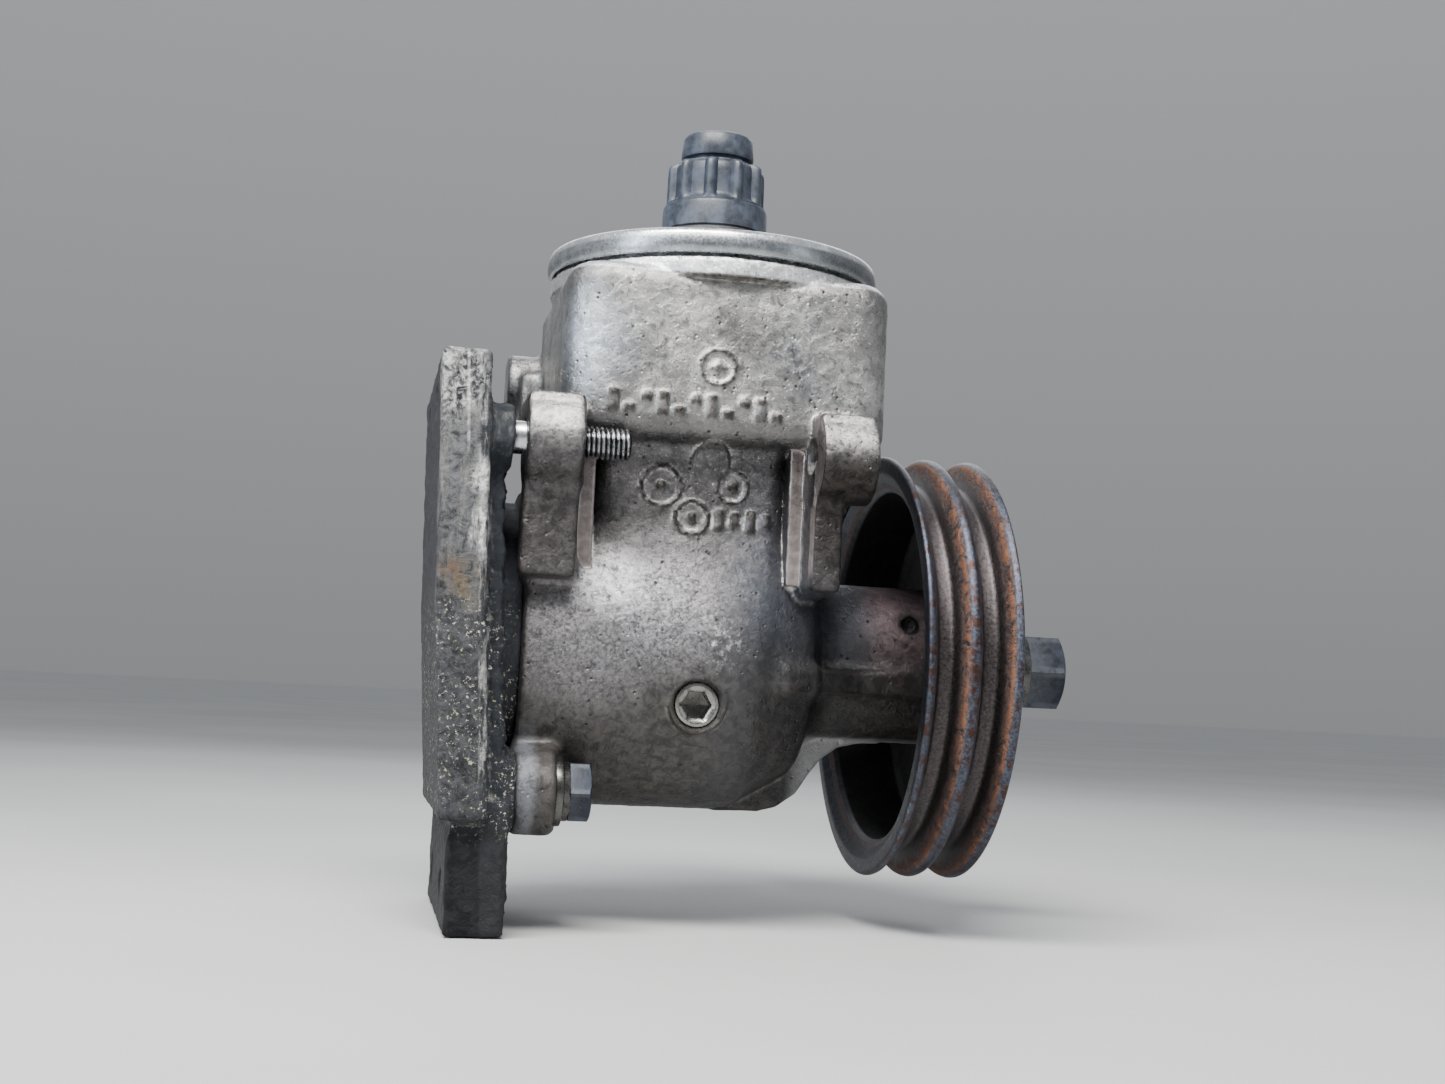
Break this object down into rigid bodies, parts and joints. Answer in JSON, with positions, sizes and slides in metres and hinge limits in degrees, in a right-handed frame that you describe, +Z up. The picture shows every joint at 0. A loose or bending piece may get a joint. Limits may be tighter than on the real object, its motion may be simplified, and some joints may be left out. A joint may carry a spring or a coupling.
{
  "type": "vane pump",
  "caption": "Belt-driven hydraulic vane pump: cast housing with oil reservoir, lid and nut, grooved pulley on the shaft, and a thick mounting bracket behind.",
  "frame": {"origin": "on the drive shaft's axis, at the bracket's engine face", "axes": "+X along the shaft towards the pulley, +Z up towards the reservoir lid, -Y towards the side with the valve plug"},
  "size_m": [0.215, 0.149, 0.2606],
  "materials": {
    "cast_aluminium": "weathered sand casting",
    "dark_iron": "greasy dark casting",
    "bright_stud": "bright zinc",
    "dark_bolt": "dark blue-grey steel",
    "grey_washer": "dull steel",
    "lid_steel": "worn zinc plate",
    "black_nut": "worn black plastic",
    "black_rubber": "aged rubber",
    "belt_pulley": "bare and rusty pressed steel",
    "shaft_steel": "ground steel",
    "bearing_steel": "polished bearing steel",
    "cage_brass": "pressed brass",
    "spring_steel": "spring steel",
    "pump_steel": "lapped steel",
    "cover_iron": "machined iron",
    "fitting_zinc": "yellow zinc plate",
    "copper_washer": "soft copper",
    "filter_paper": "pleated paper"
  },
  "bodies": {
    "pump_body": {"housing": "cast_aluminium", "mounting_bracket": "dark_iron", "pivot_stud": "bright_stud", "bracket_bolts": "dark_bolt", "valve_plug": "dark_bolt", "bolt_washers": "grey_washer", "shaft_seal": "black_rubber", "port_plate_oring": "black_rubber", "rear_plate_oring": "black_rubber", "cover_oring": "black_rubber", "lid_stud": "shaft_steel", "dowel_pins": "shaft_steel", "bearing_outer_ring": "bearing_steel", "bearing_circlip": "spring_steel", "pressure_spring": "spring_steel", "cover_snap_ring": "spring_steel", "valve_spring": "spring_steel", "filter_spring": "spring_steel", "front_port_plate": "pump_steel", "rear_pressure_plate": "pump_steel", "cam_ring": "pump_steel", "rear_cover": "cover_iron", "pressure_union": "fitting_zinc", "return_nipple": "fitting_zinc", "filter_plate": "fitting_zinc", "filter_seat": "fitting_zinc", "union_washer": "copper_washer", "filter_element": "filter_paper"},
    "shaft": {"drive_shaft": "shaft_steel", "pulley_key": "shaft_steel", "bearing_inner_ring": "bearing_steel", "rotor": "pump_steel", "pulley": "belt_pulley", "pulley_washer": "grey_washer", "pulley_nut": "dark_bolt"},
    "ball_cage": {"bearing_balls": "bearing_steel", "bearing_cage": "cage_brass"},
    "vane_body_01": {"vane_01": "pump_steel"},
    "vane_body_02": {"vane_02": "pump_steel"},
    "vane_body_03": {"vane_03": "pump_steel"},
    "vane_body_04": {"vane_04": "pump_steel"},
    "vane_body_05": {"vane_05": "pump_steel"},
    "vane_body_06": {"vane_06": "pump_steel"},
    "vane_body_07": {"vane_07": "pump_steel"},
    "vane_body_08": {"vane_08": "pump_steel"},
    "vane_body_09": {"vane_09": "pump_steel"},
    "vane_body_10": {"vane_10": "pump_steel"},
    "spool": {"valve_spool": "pump_steel"},
    "lid": {"reservoir_lid": "lid_steel", "lid_seal": "black_rubber"},
    "nut_carrier": {"nut_seal": "black_rubber"},
    "nut": {"lid_nut": "black_nut"}
  },
  "joints": [
    {"name": "shaft_spin", "type": "hinge", "parent": "pump_body", "child": "shaft", "pos_m": [0, 0, 0], "axis": [1, 0, 0], "continuous": true},
    {"name": "bearing_cage_spin", "type": "hinge", "parent": "pump_body", "child": "ball_cage", "pos_m": [0.169, 0, 0], "axis": [1, 0, 0], "continuous": true},
    {"name": "vane_slide_01", "type": "slide", "parent": "shaft", "child": "vane_body_01", "axis": [0, -0.309, 0.9511], "range_m": [0, 0.0009]},
    {"name": "vane_slide_02", "type": "slide", "parent": "shaft", "child": "vane_body_02", "axis": [0, -0.809, 0.5878], "range_m": [0, 0.0009]},
    {"name": "vane_slide_03", "type": "slide", "parent": "shaft", "child": "vane_body_03", "axis": [0, -1, 0], "range_m": [0, 0.0009]},
    {"name": "vane_slide_04", "type": "slide", "parent": "shaft", "child": "vane_body_04", "axis": [0, -0.809, -0.5878], "range_m": [0, 0.0009]},
    {"name": "vane_slide_05", "type": "slide", "parent": "shaft", "child": "vane_body_05", "axis": [0, -0.309, -0.9511], "range_m": [0, 0.0009]},
    {"name": "vane_slide_06", "type": "slide", "parent": "shaft", "child": "vane_body_06", "axis": [0, 0.309, -0.9511], "range_m": [0, 0.0009]},
    {"name": "vane_slide_07", "type": "slide", "parent": "shaft", "child": "vane_body_07", "axis": [0, 0.809, -0.5878], "range_m": [0, 0.0009]},
    {"name": "vane_slide_08", "type": "slide", "parent": "shaft", "child": "vane_body_08", "axis": [0, 1, 0], "range_m": [0, 0.0009]},
    {"name": "vane_slide_09", "type": "slide", "parent": "shaft", "child": "vane_body_09", "axis": [0, 0.809, 0.5878], "range_m": [0, 0.0009]},
    {"name": "vane_slide_10", "type": "slide", "parent": "shaft", "child": "vane_body_10", "axis": [0, 0.309, 0.9511], "range_m": [0, 0.0009]},
    {"name": "valve_spool_slide", "type": "slide", "parent": "pump_body", "child": "spool", "axis": [0, 1, 0], "range_m": [0, 0.008], "stiffness_N_per_m": 1500, "springref_m": -0.006, "deforming": ["valve_spring"]},
    {"name": "lid_lift", "type": "slide", "parent": "pump_body", "child": "lid", "axis": [0, 0, 1], "range_m": [0, 0.06]},
    {"name": "nut_rise", "type": "slide", "parent": "lid", "child": "nut_carrier", "axis": [0, 0, 1], "range_m": [0, 0.0083]},
    {"name": "nut_turn", "type": "hinge", "parent": "nut_carrier", "child": "nut", "pos_m": [0.0878, 0, 0.14], "axis": [0, 0, 1], "range_deg": [0, 1980]}
  ],
  "couplings": [
    {"joint": "bearing_cage_spin", "follows": "shaft_spin", "ratio": 0.39758},
    {"joint": "nut_rise", "follows": "nut_turn", "m_per_rad": 0.00023873}
  ]
}
